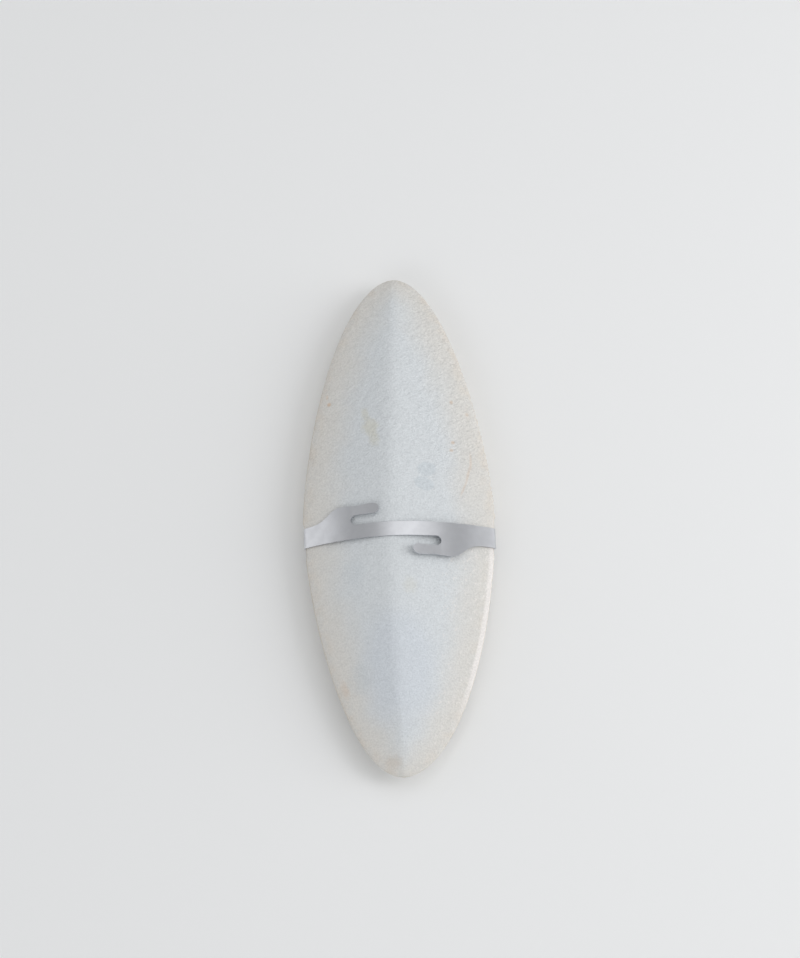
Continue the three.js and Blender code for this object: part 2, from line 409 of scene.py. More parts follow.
@dataclass(frozen=True)
class ChalkFinish:
    """The bone's dry, sandy chalk: cool along the crest, warm towards the margins, with a few stains."""

    cool: Colour = display(218, 222, 225)
    warm: Colour = display(222, 220, 216)
    tan: Colour = display(221, 215, 207)
    blue: Colour = display(211, 217, 225)
    ivory: Colour = display(238, 234, 231)
    horn: Colour = display(205, 190, 165)
    belly: Colour = display(236, 234, 228)
    grain: float = 0.5 * MM
    grain_depth: float = 0.13 * MM
    slant: float = math.radians(30.0)
    # Painted shade: how far the belly's relief height darkens its grooves and lightens its ridges.
    relief_shade_depth: float = 0.1
    roughness: float = 0.88
    specular: float = 0.25
    marks: tuple[Mark, ...] = (
        Mark((-7.5, 26.5), (2.2, 3.0), YELLOWED, 0.42, 0.2, 0.3, 0.5),
        Mark((-9.0, 31.0), (1.1, 1.8), YELLOWED, 0.35, 0.2, 0.3, 0.6),
        Mark((-6.5, 22.5), (1.5, 2.2), YELLOWED, 0.35, 0.2, 0.3, 0.6),
        Mark((8.5, 13.0), (3.1, 2.4), BRUISED, 0.5, 0.3, 0.08, 0.15),
        Mark((7.5, 8.5), (3.2, 2.3), BRUISED, 0.5, -0.3, 0.08, 0.15),
        Mark((-13.5, -17.5), (3.0, 3.8), BRUISED, 0.25, 0.0, 0.3, 0.7),
        Mark((-12.5, -48.5), (2.8, 4.2), BRUISED, 0.35, 0.0, 0.3, 0.7),
        Mark((21.5, 16.5), (0.4, 2.6), RUSTED, 0.2, 0.0, 0.1, 0.6),
        Mark((20.5, 12.0), (0.4, 3.0), RUSTED, 0.22, -0.24, 0.1, 0.6),
        Mark((19.0, 7.5), (0.35, 2.4), RUSTED, 0.2, -0.38, 0.1, 0.6),
        Mark((-19.5, 36.0), (0.6, 0.6), RUSTED, 0.5, 0.0, 0.0, 0.6),
        Mark((-20.0, 38.5), (0.4, 0.8), RUSTED, 0.25, 0.0, 0.0, 0.6),
        Mark((16.5, 35.0), (0.5, 0.6), RUSTED, 0.35, 0.0, 0.0, 0.6),
        Mark((21.0, 31.5), (0.5, 0.6), RUSTED, 0.22, 0.0, 0.0, 0.6),
        Mark((16.5, 22.0), (0.6, 0.5), RUSTED, 0.4, 0.3, 0.0, 0.6),
        Mark((16.0, 19.5), (0.6, 0.5), RUSTED, 0.35, 0.3, 0.0, 0.6),
        Mark((2.5, -22.5), (2.0, 2.4), YELLOWED, 0.2, 0.0, 0.3, 0.6),
        Mark((-17.0, -51.0), (1.0, 2.4), RUSTED, 0.18, 0.3, 0.3, 0.6),
        Mark((-4.0, -72.5), (2.4, 1.7), BROWNED, 0.4, 0.0, 0.3, 0.6),
    )

    def material(self) -> bpy.types.Material:
        """Builds the chalk's node tree: broad colours first, then stains, grain and fine relief.

        Returns:
            The material.
        """
        s = Shading("dry_chalk")
        cloud = s.noise(4 * MM, 4.0)
        colour = s.tint(s.attribute("back"), self._underside(s), self._upperside(s, cloud))
        colour, normal = self._flecked(s, colour), None
        for pattern, depth, height in self._patterns(s, cloud):
            colour = s.shade(colour, pattern, depth)
            normal = s.bump(pattern, height, normal) if height else normal
        s.surface.inputs["Specular IOR Level"].default_value = self.specular
        return s.finish(colour, self.roughness, normal)

    def _upperside(self, s: Shading, cloud: bpy.types.NodeSocket) -> bpy.types.NodeSocket:
        """The back's colours: cool in the middle, warm and tan outside, with the marks and a painted
        highlight on the margin.

        Args:
            s: The chalk's node tree.
            cloud: The cloudy noise that breaks up the tan.

        Returns:
            The colour's socket.
        """
        inset, along, side = (s.attribute(name) for name in ("inset", "along", "side"))
        wander = s.product(s.math("SUBTRACT", s.noise(14 * MM, 3.0), 0.5), 9 * MM)
        colour = s.tint(s.ease(s.math("ADD", inset, wander), 15 * MM, 3 * MM), self.cool, self.warm)
        tanned = s.product(s.ease(inset, 4.5 * MM, 0.3 * MM), s.ease(cloud, 0.35, 0.7))
        colour = s.tint(tanned, colour, self.tan)
        tongue = s.blob((-1.5 * MM, -46 * MM), (11 * MM, 18 * MM), 0.0, 0.12, 9 * MM)
        colour = s.tint(s.product(tongue, 0.6), colour, self.blue)
        for mark in self.marks:
            place, radii = (tuple(MM * part for part in pair) for pair in (mark.place, mark.radii))
            patch = s.blob(place, radii, mark.turn, mark.ragged, max(radii) / 2.0, mark.blur)
            colour = s.tint(s.product(patch, mark.strength), colour, mark.colour)
        # Painted highlight: a pale band along the rear half of the +X margin, where the side wall faces the
        # light.
        rear_part = s.product(s.ease(along, 0.0, -0.2), s.ease(along, -0.85, -0.6))
        lit_wall_highlight = s.product(s.ease(inset, 1.9 * MM, 1.1 * MM), s.ease(side, 0.2, 0.6), rear_part)
        return s.tint(lit_wall_highlight, colour, self.ivory)

    def _underside(self, s: Shading) -> bpy.types.NodeSocket:
        """The belly's colours: pale, with painted shade in the growth lines and other grooves, and a horny
        brown rim.
        """
        under = s.tint(s.ease(s.attribute("inset"), 1.6 * MM, 0.9 * MM), self.belly, self.horn)
        return s.shade(under, s.attribute("relief_shade"), self.relief_shade_depth)

    def _flecked(self, s: Shading, colour: bpy.types.NodeSocket) -> bpy.types.NodeSocket:
        """Adds the pale flecks, which lean with the growth on the rear of the +X flank."""
        where = s.product(s.ease(s.attribute("along"), 0.1, -0.2), s.ease(s.attribute("side"), 0.3, 0.7))
        fleck = s.ease(s.noise(0.75 * MM, 1.0, (1.0, 1.9, 1.0), -0.4), 0.6, 0.72)
        return s.tint(s.product(fleck, where, 0.6), colour, self.ivory)

    def _patterns(self, s: Shading, cloud: bpy.types.NodeSocket) -> tuple[tuple[object, float, float], ...]:
        """The chalk's clouds, coarse grain, slanting ridges and sand.

        The ridges fade out towards the rear and are strongest on the +X flank. The sand is a little weaker on
        the rear of the -X flank.

        Args:
            s: The chalk's node tree.
            cloud: The cloudy noise.

        Returns:
            Each pattern with its depth of shade and its height in metres, 0 where it has no relief.
        """
        along, side = s.attribute("along"), s.attribute("side")
        coarse = s.noise(1.3 * MM, 2.0, (1.6, 0.8, 1.0), self.slant, 0.6)
        flank = s.math("ADD", 0.9, s.product(s.ease(side, 0.1, 0.6), 0.6))
        ridges = s.noise(0.5 * MM, 1.5, (2.6, 1.0, 1.5), self.slant, 0.3)
        smooth = s.product(s.ease(along, 0.05, -0.3), s.ease(side, 0.35, -0.1), 0.1)
        return (
            (cloud, 0.03, 0.0),
            (coarse, 0.08, 1.3 * self.grain_depth),
            (s.fade(ridges, s.product(s.ease(along, -0.15, 0.3), flank)), 0.2, 1.2 * self.grain_depth),
            (s.fade(s.noise(self.grain, 3.0), s.math("SUBTRACT", 1.0, smooth)), 0.38, self.grain_depth),
        )


@dataclass(frozen=True)
class SteelFinish:
    """The clip's satin tinned sheet, with a faint rolling grain along the strap."""

    colour: Colour = (0.66, 0.67, 0.70)
    roughness: float = 0.34
    grain: float = 0.16 * MM
    grain_depth: float = 0.002 * MM
    pit_depth: float = 0.003 * MM

    def material(self) -> bpy.types.Material:
        """Builds the sheet's node tree: rolling grain, a cloudy dullness and fine pits.

        Returns:
            The material.
        """
        s = Shading("satin_sheet")
        rolled = s.noise(self.grain, 3.0, (60.0, 1.0, 8.0))
        cloud = s.noise(2.5 * MM, 3.0)
        pits = s.noise(0.25 * MM, 2.0)
        darker = tuple(0.95 * part for part in self.colour)
        colour = s.shade(s.tint(s.ease(cloud, 0.3, 0.7), self.colour, darker), rolled, 0.05)
        dull = s.math("ADD", s.product(cloud, 0.08), self.roughness - 0.04)
        dull = s.math("ADD", dull, s.product(s.math("SUBTRACT", rolled, 0.5), 0.1))
        s.surface.inputs["Metallic"].default_value = 1.0
        return s.finish(colour, dull, s.bump(pits, self.pit_depth, s.bump(rolled, self.grain_depth)))


@dataclass(frozen=True)
class FloorFinish:
    """A plain pale matt table."""

    colour: Colour = (0.92, 0.925, 0.93)
    roughness: float = 0.9

    def material(self) -> bpy.types.Material:
        """Builds the table's plain surface."""
        s = Shading("pale_table")
        return s.finish(self.colour, self.roughness)


@dataclass(frozen=True)
class BellyForm:
    """The belly's own features: growth lines behind the smooth last chamber, a furrow, and the inner cone."""

    line_pitch: float = 1.15 * MM
    line_height: float = 0.055 * MM
    line_depth: float = 0.25 * MM
    line_arch: float = 20 * MM
    chamber_edge: Pair = (16 * MM, 12 * MM)
    furrow_depth: float = 0.5 * MM
    furrow_width: float = 4.5 * MM
    cone_tip: float = -66 * MM
    cone_spread: float = 9 * MM
    cone_rim: float = 0.9 * MM
    cone_rim_width: float = 0.8 * MM
    cone_hollow: float = 0.5 * MM
    flange_depth: float = 0.35 * MM
    flange_inset: float = 1.9 * MM
    flange_width: float = 0.5 * MM
    sand: float = 0.02 * MM

    def relief(self, points: Array, v: Array, c: Array, inset: Array) -> Array:
        """The belly's relief, as the sum of its features.

        The lines are a wave of the distance behind an arch that is highest in the middle and falls away with
        the side position squared. The furrow and the flange are bell-shaped grooves. The cone's rim is a
        bell-shaped ridge along a parabola that opens forwards, with a hollow inside it.

        Args:
            points: The skin's points.
            v: Their positions along the bone.
            c: Their side positions.
            inset: Their distances from the margin.

        Returns:
            Heights in metres, outwards.
        """
        x, y = points[..., 0], points[..., 1]
        wobble = Grain(21).at(points, 9 * MM) * 1.4 * MM + Grain(22).at(points, 2.5 * MM) * 0.25 * MM
        arch = y + self.line_arch * c * c + wobble
        striped = smoothstep(arch, *self.chamber_edge) * smoothstep(v, -0.93, -0.8)
        wave = np.sin(2.0 * np.pi * arch / self.line_pitch + 2.0 * Grain(23).at(points, 5 * MM))
        lines = striped * (wave * self.line_height - self.line_depth)
        middle = np.exp(-((x / self.furrow_width) ** 2))
        furrow = -self.furrow_depth * middle * smoothstep(v, 0.05, -0.25) * smoothstep(v, -0.8, -0.5)
        slope = np.hypot(1.0, 2.0 * x / self.cone_spread)
        ahead = (y - self.cone_tip - x**2 / self.cone_spread) / slope
        ridge = np.exp(-((ahead / self.cone_rim_width) ** 2))
        rim = self.cone_rim * ridge * smoothstep(y, -36 * MM, -50 * MM)
        hollow = -self.cone_hollow * smoothstep(ahead, 0.0, 4 * MM) * smoothstep(y, -42 * MM, -56 * MM)
        flange = -self.flange_depth * np.exp(-(((inset - self.flange_inset) / self.flange_width) ** 2))
        return lines + furrow + rim + hollow + flange + Grain(25).at(points, 1.2 * MM) * self.sand


@dataclass
class Cuttlebone:
    """The bone: a lens with a roof-shaped back, a full belly and a thin margin.

    The skin is a function of v, from -1 at the rear tip to 1 at the front tip, and of an angle that turns
    round the section from the +X margin over the back.
    """

    low: Vector
    high: Vector
    seat_y: float
    crest_rise: float = 9.1 * MM
    belly_drop: float = 8.2 * MM
    rim: float = 0.9 * MM
    rim_sharpness: float = 14.0
    belly_flat: float = 0.3 * MM
    front_outline: Pair = (1.48, 0.525)
    rear_outline: Pair = (1.65, 0.51)
    front_lean: float = 0.6 * MM
    rear_lean: float = -1.05 * MM
    front_droop: float = 1.0 * MM
    rear_droop: float = 2.0 * MM
    crest_shift: float = -2.5 * MM
    crest_skew: float = 1.4 * MM
    roof_share: float = 0.8
    crest_softness: float = 0.1
    seat_depth: float = 0.35 * MM
    seat_reach: Pair = (4.2 * MM, 5.8 * MM)
    swell: float = 0.1 * MM
    ripple: float = 0.03 * MM
    grain: float = 0.018 * MM
    wrinkle: float = 0.04 * MM
    crossed_wrinkle: float = 0.025 * MM
    wrinkle_slant: float = math.radians(30.0)
    bite: float = 0.4 * MM
    bite_pitch: float = 1.75 * MM
    bite_reach: float = 0.9 * MM
    rings: int = 430
    sides: int = 228
    belly: BellyForm = field(default_factory=BellyForm)
    finish: ChalkFinish = field(default_factory=ChalkFinish)

    def __post_init__(self) -> None:
        """Takes the driving sizes from the frame's box."""
        self.half_length = (self.high.y - self.low.y) / 2.0
        self.half_width = self.high.x
        self.margin_z = self.belly_drop + self.rim - self.belly_flat

    def half_width_at(self, v: Array) -> Array:
        """The outline: half width times (1 - |v|^power)^taper, with its own two numbers for each end."""
        outlines = (self.front_outline, self.rear_outline)
        front, rear = ((1.0 - np.abs(v) ** power) ** taper for power, taper in outlines)
        return self.half_width * np.where(v > 0.0, front, rear)

    def lean_at(self, v: Array) -> Array:
        """How far the middle line has bent sideways: v to the sixth, to opposite sides at the two tips."""
        return np.where(v > 0.0, self.front_lean, self.rear_lean) * v**6

    def margin_at(self, v: Array) -> Array:
        """The margin's height, which bends down with v squared towards both tips."""
        return self.margin_z - np.where(v > 0.0, self.front_droop, self.rear_droop) * v * v

    def crest_at(self, v: Array) -> Array:
        """The crest's height over the margin: a flat-topped arch from tip to tip."""
        return self.crest_rise * (1.0 - np.abs(v) ** 2.3) ** 0.75

    def belly_at(self, v: Array) -> Array:
        """The belly's depth: a full arch towards the front, a power of a cosine towards the rear."""
        front = (1.0 - np.abs(v) ** 2.6) ** 0.7
        rear = np.cos(0.5 * np.pi * np.abs(v) ** 1.15) ** 1.6
        return self.belly_drop * np.where(v > 0.0, front, rear)

    def rim_at(self, v: Array) -> Array:
        """Half the margin's thickness, which thins to nothing at both tips."""
        return self.rim * np.sqrt(1.0 - v**4)

    def back_fall(self, c: Array, v: Array) -> Array:
        """How far the back has fallen at side position c, from 0 at the crest to 1 at the margin.

        It mixes a roof, whose ridge is rounded as a hyperbola, with a parabola.

        Args:
            c: The side position, -1 to 1 from margin to margin.
            v: The position along the bone.

        Returns:
            The fall as a share of the crest's height.
        """
        crest = (self.crest_shift + self.crest_skew * v) * np.sqrt(1.0 - v * v) / self.half_width
        s = np.minimum(1.0, np.abs(c - crest) / np.where(c > crest, 1.0 - crest, 1.0 + crest))
        soft = self.crest_softness
        roof = (np.hypot(s, soft) - soft) / (math.hypot(1.0, soft) - soft)
        return self.roof_share * roof + (1.0 - self.roof_share) * s * s

    def seat_at(self, v: Array) -> Array:
        """How deep the clip's seat is pressed into both margins."""
        flat, end = self.seat_reach
        return self.seat_depth * smoothstep(np.abs(self.half_length * v - self.seat_y), end, flat)

    def skin(self, v: Array, angle: Array) -> Array:
        """The smooth skin: x is the outline times the angle's cosine, z the back's or belly's height there.

        Args:
            v: Positions along the bone.
            angle: Angles round the section.

        Returns:
            Points shaped as the arguments broadcast, with a last axis of 3.
        """
        v, angle = np.broadcast_arrays(v, angle)
        c = np.cos(angle)
        rim = self.rim_at(v) * np.sqrt(np.maximum(0.0, 1.0 - np.abs(c) ** self.rim_sharpness))
        over = self.crest_at(v) * (1.0 - self.back_fall(c, v)) + rim
        under = -self.belly_at(v) * np.maximum(0.0, 1.0 - np.abs(c) ** 2.4) ** 0.85 - rim
        z = self.margin_at(v) + np.where(np.sin(angle) >= 0.0, over, under)
        x = (self.half_width_at(v) - self.seat_at(v) * c**8) * c + self.lean_at(v)
        return np.stack((x, self.half_length * v, z), axis=-1)

    def _angles(self) -> Array:
        """Angles that divide the middle section's girth evenly, the back counted one and a half times."""
        fine = np.linspace(0.0, 2.0 * np.pi, 4001)
        step = np.linalg.norm(np.diff(self.skin(np.zeros(1), fine), axis=0), axis=1)
        step *= np.where(fine[:-1] < np.pi, 1.5, 1.0)
        girth = np.concatenate(([0.0], np.cumsum(step)))
        return np.interp(np.linspace(0.0, girth[-1], self.sides, endpoint=False), girth, fine)

    def _stations(self) -> Array:
        """Positions along the bone: half evenly spaced, half by a sine that crowds them towards the tips."""
        even = np.linspace(-1.0, 1.0, self.rings + 2)[1:-1]
        return 0.5 * even + 0.5 * np.sin(0.5 * np.pi * even)

    @staticmethod
    def _normals(rings: Array) -> Array:
        """Unit normals of the grid of rings: the cross product of its two slopes, pointing out."""
        around = np.roll(rings, -1, axis=1) - np.roll(rings, 1, axis=1)
        along = np.gradient(rings, axis=0)
        normal = np.cross(along, around)
        return normal / np.maximum(np.linalg.norm(normal, axis=-1, keepdims=True), 1e-12)

    def _back_relief(self, points: Array, v: Array) -> Array:
        """The back's relief: broad swells, sandy grains, and wavy wrinkles, strongest in the front half.

        The wrinkles are folds of a noise that is stretched along a slanting line. A coarser noise shifts
        their place, so that they wander and fork.

        Args:
            points: The skin's points.
            v: Their positions along the bone.

        Returns:
            Heights in metres.
        """
        swells = Grain(3).at(points, 11 * MM) * self.swell + Grain(4).at(points, 4.5 * MM) * self.ripple
        grains = Grain(5).at(points, 1.1 * MM) * self.grain
        wander = (Grain(7).at(points, 4 * MM), Grain(8).at(points, 4 * MM), np.zeros(v.shape))
        turned = np.array(Matrix.Rotation(self.wrinkle_slant, 3, "Z"))
        slanted = (points + np.stack(wander, axis=-1) * MM) @ turned
        folded = 1.0 - 2.5 * np.abs(Grain(9).at(slanted, (3.0 * MM, 1.35 * MM, 3.0 * MM)))
        crossed = Grain(10).at(slanted, (1.8 * MM, 0.9 * MM, 2.0 * MM))
        front = smoothstep(v, -0.25, 0.25)
        wrinkles = folded * (0.2 + 0.8 * front) * self.wrinkle
        wrinkles += crossed * (0.3 + 0.7 * front) * self.crossed_wrinkle
        return swells + grains + wrinkles

    def _ragged_margin(self, points: Array, v: Array, c: Array) -> Array:
        """How far the margin is worn in: small rounded bites along the +X side, faint ones on the other.

        The bites are the positive half of a wave whose place is shifted by noise.

        Args:
            points: The skin's points.
            v: Their positions along the bone.
            c: Their side positions.

        Returns:
            Depths in metres, towards the middle.
        """
        y = points[..., 1]
        line = np.stack((np.zeros(y.shape), y, np.zeros(y.shape)), axis=-1)
        place = y / self.bite_pitch + 0.9 * Grain(31).at(line, 4.0 * MM)
        size = 0.6 + 0.4 * Grain(32).at(line, 2.5 * MM)
        bites = size * (0.5 + 0.5 * np.sin(2.0 * np.pi * place)) ** 1.5
        worn = smoothstep(y, -44 * MM, -12 * MM) * smoothstep(y, 62 * MM, 34 * MM)
        depth = np.where(c > 0.0, self.bite * worn + 0.05 * MM, 0.07 * MM)
        clear = 1.0 - smoothstep(np.abs(y - self.seat_y), 5.2 * MM, 3.8 * MM)
        nearby = np.exp(-((1.0 - np.abs(c)) * self.half_width_at(v) / self.bite_reach))
        return depth * bites * nearby * clear

    def build(self) -> bpy.types.Object:
        """Builds the skin with its relief, and stores where each vertex lies for the finish.

        Returns:
            The bone.
        """
        v, angle = np.meshgrid(self._stations(), self._angles(), indexing="ij")
        points = self.skin(v, angle)
        c = np.cos(angle)
        back = smoothstep(np.sin(angle), -0.02, 0.02)
        inset = (1.0 - np.abs(c)) * self.half_width_at(v)
        calm = smoothstep(inset, 0.0, 1.5 * MM)
        over, under = self._back_relief(points, v), self.belly.relief(points, v, c, inset)
        relief = back * over * (0.4 + 0.6 * calm) + (1.0 - back) * under * calm
        relief *= smoothstep(1.0 - np.abs(v), 0.0, 0.02)
        relief *= 1.0 - smoothstep(np.abs(points[..., 1] - self.seat_y), 5.0 * MM, 3.0 * MM) * (1.0 - calm)
        points = points + self._normals(points) * relief[..., None]
        points[..., 0] -= np.sign(c) * self._ragged_margin(points, v, c)
        points[..., 2] = np.maximum(points[..., 2], 0.0)
        tips = np.array((-1.0, 1.0))
        bone = closed_mesh("cuttlebone_skin", points, self.skin(tips, np.zeros(2)))
        store(bone.data, "along", np.concatenate((v.ravel(), tips)))
        # Painted shade: the belly's relief height, kept so that the finish darkens its grooves and hollows.
        relief_shade = 0.5 + under / (0.4 * MM)
        for name, values in (("inset", inset), ("side", c), ("back", back), ("relief_shade", relief_shade)):
            store(bone.data, name, np.concatenate((values.ravel(), np.zeros(2))))
        return bone

    def dress(self, bone: bpy.types.Object) -> None:
        """Gives the bone its chalk and its place in the frame."""
        bone.data.materials.append(self.finish.material())
        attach(bone, "root")
        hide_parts("cuttlebone")


def bezier(points: tuple[Pair, ...], steps: int) -> Array:
    """A smooth curve from the first of four points to the last, steered by the two between.

    Args:
        points: The four points.
        steps: How many points come back; the first one is left out, because the last curve ended there.

    Returns:
        The curve's points, shaped (steps, 2).
    """
    t = np.linspace(0.0, 1.0, steps + 1)[1:, None]
    a, b, c, d = (np.array(point) for point in points)
    return (1 - t) ** 3 * a + 3 * (1 - t) ** 2 * t * b + 3 * (1 - t) * t * t * c + t**3 * d


def evenly(curve: Array, count: int) -> Array:
    """Spreads points at equal distances along a curve.

    Args:
        curve: The curve's points, shaped (n, 2).
        count: How many points come back, the curve's first and last among them.

    Returns:
        Points shaped (count, 2).
    """
    length = np.concatenate(([0.0], np.cumsum(np.linalg.norm(np.diff(curve, axis=0), axis=1))))
    wanted = np.linspace(0.0, length[-1], count)
    return np.stack([np.interp(wanted, length, curve[:, axis]) for axis in (0, 1)], axis=-1)


@dataclass
class Clip:
    """The clip: a strap bent over the bone, with a claw at each end and two opposed hooks for cage wires.

    Each strip of it is a grid of straight lines between two edge curves. Plan positions of the hooks are
    measured from the middle between them, for the hook at the -X side.
    """

    bone: Cuttlebone
    y: float
    sheet: float = 0.4 * MM
    clearance: float = 0.05 * MM
    hooks_x: float = -1.0 * MM
    strap: float = 2.1 * MM
    end_hook: float = 3.95 * MM
    slot_end: float = 12.95 * MM
    slot_top: float = 5.0 * MM
    finger_tip: float = 4.75 * MM
    finger_top: float = 7.95 * MM
    finger_lift: float = 1.0 * MM
    shoulder: float = 25.3 * MM
    arch_power: float = 1.9
    arch_end: float = 0.95
    claw_reach: float = 7.0 * MM
    claw_taper: float = 0.35
    root_start: float = 19.0 * MM
    edge_round: float = 0.07 * MM
    across: int = 13
    finish: SteelFinish = field(default_factory=SteelFinish)

    def __post_init__(self) -> None:
        """Works out the bent path that every strip follows, and the slot's rounded end."""
        self.slot_middle = (self.slot_top + self.strap) / 2.0
        self.slot_radius = (self.slot_top - self.strap) / 2.0
        self.path = self._bend()
        steps = np.linalg.norm(np.diff(self.path, axis=0), axis=1)
        self.length = np.concatenate(([0.0], np.cumsum(steps)))
        self.upper = slice(int(np.argmin(self.path[:, 0])), int(np.argmax(self.path[:, 0])) + 1)

    def _bend(self) -> Array:
        """The sheet's middle line in the plane across the bone, from the -X claw's tip to the +X one's.

        Below the arch's ends it follows the bone's section at a constant distance; between them it is an arch
        that falls from the crest with a power of the side distance. A short running mean eases the joins.

        Returns:
            The line's points, X and Z, shaped (n, 2).
        """
        bone, v = self.bone, np.array(self.y / self.bone.half_length)
        section = bone.skin(v, np.linspace(0.0, 2.0 * np.pi, 2880, endpoint=False))[..., (0, 2)]
        tangent = np.roll(section, -1, axis=0) - np.roll(section, 1, axis=0)
        outward = np.stack((tangent[:, 1], -tangent[:, 0]), axis=-1)
        distance = self.clearance + self.sheet / 2.0
        grown = section + outward / np.linalg.norm(outward, axis=1, keepdims=True) * distance
        margin = float(bone.margin_at(v))
        ends = []
        for side in (-1.0, 1.0):
            reach = side * grown[:, 0]
            above = (grown[:, 1] > margin) & (reach > self.arch_end * bone.half_width)
            below = (grown[:, 1] <= margin) & (reach > bone.half_width - self.claw_reach)
            line = grown[above | below]
            ends.append(line[np.argsort(-line[:, 1])])
        left, right = ends
        top = margin + float(bone.crest_at(v) + bone.rim_at(v)) + distance
        x = np.linspace(left[0, 0], right[0, 0], 400)[1:-1]
        end = np.where(x[:, None] > self.hooks_x, right[0], left[0])
        share = np.abs((x - self.hooks_x) / (end[:, 0] - self.hooks_x))
        arch = np.stack((x, top - (top - end[:, 1]) * share**self.arch_power), axis=-1)
        path = evenly(np.vstack((left[::-1], arch, right)), 601)
        window = np.hanning(11) / np.hanning(11).sum()
        padded = np.pad(path, ((5, 5), (0, 0)), mode="reflect", reflect_type="odd")
        return np.stack([np.convolve(padded[:, axis], window, mode="valid") for axis in (0, 1)], axis=-1)

    def _stations(self) -> Array:
        """Distances along the path where the strap has a line across: closest round the slots' ends.

        Returns:
            Distances from the path's start.
        """
        upper, length = self.path[self.upper], self.length[self.upper]
        turn = np.linspace(0.0, 0.5 * np.pi, 15)
        inner = self.slot_end - self.slot_radius
        half = np.concatenate((
            np.linspace(-self.shoulder, -self.slot_end, 60),
            (-inner - self.slot_radius * np.cos(turn))[1:],
            np.linspace(-inner, 0.0, 50)[1:],
        ))
        middle = np.interp(np.concatenate((half, -half[-2::-1])) + self.hooks_x, upper[:, 0], length)
        ends = np.linspace(0.0, middle[0], 90)[:-1], np.linspace(middle[-1], self.length[-1], 90)[1:]
        return np.concatenate((ends[0], middle, ends[1]))

    def _edge(self, x: Array, over: Array, side: float) -> Array:
        """How far the strap's edge is from its middle line, on the front side or the rear one.

        It is the strap's half width, and more on a hook's side past the hook. Where the hook branches off,
        the edge runs inside the sheet to the middle of the slot and comes down round its closed end. Under
        the bone each claw tapers to a blunt tip.

        Args:
            x: Places across the bone.
            over: Which of them are on the upper side.
            side: 1 for the front edge, -1 for the rear one.

        Returns:
            Distances in metres.
        """
        bone = self.bone
        ends = np.where(x * side < 0.0, self.end_hook, self.strap)
        hook = (x - self.hooks_x) * side
        sinking = smoothstep(hook, -self.root_start, -self.slot_end)
        root = self.end_hook + (self.slot_middle - self.end_hook) * sinking
        inner = hook + self.slot_end - self.slot_radius
        bow = self.slot_middle - np.sqrt(np.maximum(0.0, self.slot_radius**2 - inner**2))
        above = np.where(hook <= -self.slot_end, root, np.where(inner < 0.0, bow, self.strap))
        share = np.clip((np.abs(x) - bone.half_width + self.claw_reach) / self.claw_reach, 0.0, 1.0)
        blunt = np.sqrt(1.0 - (1.0 - np.clip(share / 0.2, 0.0, 1.0)) ** 2)
        return np.where(over, above, (self.claw_taper + (1.0 - self.claw_taper) * share) * ends * blunt)

    def _strap(self) -> tuple[Array, slice]:
        """The strap and claws: straight lines from the rear edge to the front one at every station.

        Returns:
            A grid of points, shaped (stations, across, 3), and which stations lie along the hook's root.
        """
        at = self._stations()
        x, z = (np.interp(at, self.length, self.path[:, axis]) for axis in (0, 1))
        ends = self.length[self.upper][[0, -1]]
        over = (at >= ends[0]) & (at <= ends[1])
        front, rear = (self._edge(x, over, side)[:, None] for side in (1.0, -1.0))
        share = np.linspace(0.0, 1.0, self.across)
        y = self.y - rear + (front + rear) * share
        grid = np.stack(np.broadcast_arrays(x[:, None], y, z[:, None]), axis=-1)
        hook, slack = x - self.hooks_x, 0.0001 * MM
        root = np.flatnonzero(over & (hook > -self.shoulder - slack) & (hook < -self.slot_end + slack))
        return grid, slice(root[0], root[-1] + 1)

    def _hook(self, root: Array, turn: float) -> Array:
        """One hook: straight lines from its inner edge to its outer edge, bent onto the arch and lifted.

        The inner edge runs along the strap, round the slot's closed end and along the finger; the outer edge
        runs over the shoulder and along the finger; they meet at the finger's round tip.

        Args:
            root: The strap's edge along the hook's root, in space.
            turn: 1 for the hook at the -X side, -1 for the same hook turned half round.

        Returns:
            A grid of points, shaped (steps, across, 3).
        """
        middle = np.array((self.hooks_x, self.y))
        base = (root[:, :2] - middle) * turn
        end, r, slot, top = -self.slot_end, self.slot_radius, self.slot_middle, self.finger_top
        rise, knuckle = (-19.3 * MM, 6.4 * MM), (-15.5 * MM, top + 0.15 * MM)
        waist, nose = (-10.3 * MM, top - 0.15 * MM), (-6.7 * MM, top)
        tip, chin = (-self.finger_tip, 6.35 * MM), (-6.5 * MM, self.slot_top - 0.12 * MM)
        turning = np.linspace(0.0, 0.5 * np.pi, 13)[1:, None]
        bow = np.array((end + r, slot)) + r * np.hstack((-np.cos(turning), np.sin(turning)))
        slot_edge = bezier((tuple(bow[-1]), (-10.0 * MM, slot + r), (-8.0 * MM, chin[1]), chin), 26)
        inner_nose = bezier((chin, (-5.4 * MM, chin[1]), (tip[0], 5.5 * MM), tip), 20)
        inner = np.vstack((base, bow, slot_edge, inner_nose))
        start = tuple(base[0])
        shoulder = np.vstack((
            base[:1],
            bezier((start, (-22.4 * MM, start[1] + 0.1 * MM), (-21.0 * MM, 4.8 * MM), rise), 40),
            bezier((rise, (-18.1 * MM, 7.5 * MM), (-17.2 * MM, knuckle[1]), knuckle), 40),
        ))
        back = np.vstack((
            bezier((knuckle, (-13.6 * MM, knuckle[1]), (-12.0 * MM, waist[1] - 0.05 * MM), waist), 24),
            bezier((waist, (-9.3 * MM, waist[1] + 0.05 * MM), (-8.0 * MM, top + 0.05 * MM), nose), 14),
        ))
        outer_nose = bezier((nose, (-5.5 * MM, top - 0.05 * MM), (tip[0], 7.2 * MM), tip), 20)
        outer = np.vstack((evenly(shoulder, len(base)), back, outer_nose))
        share = np.linspace(0.0, 1.0, self.across)[:, None]
        flat = inner[:, None] * (1.0 - share) + outer[:, None] * share
        along = (self.slot_end + flat[..., 0]) / (self.slot_end - self.finger_tip)
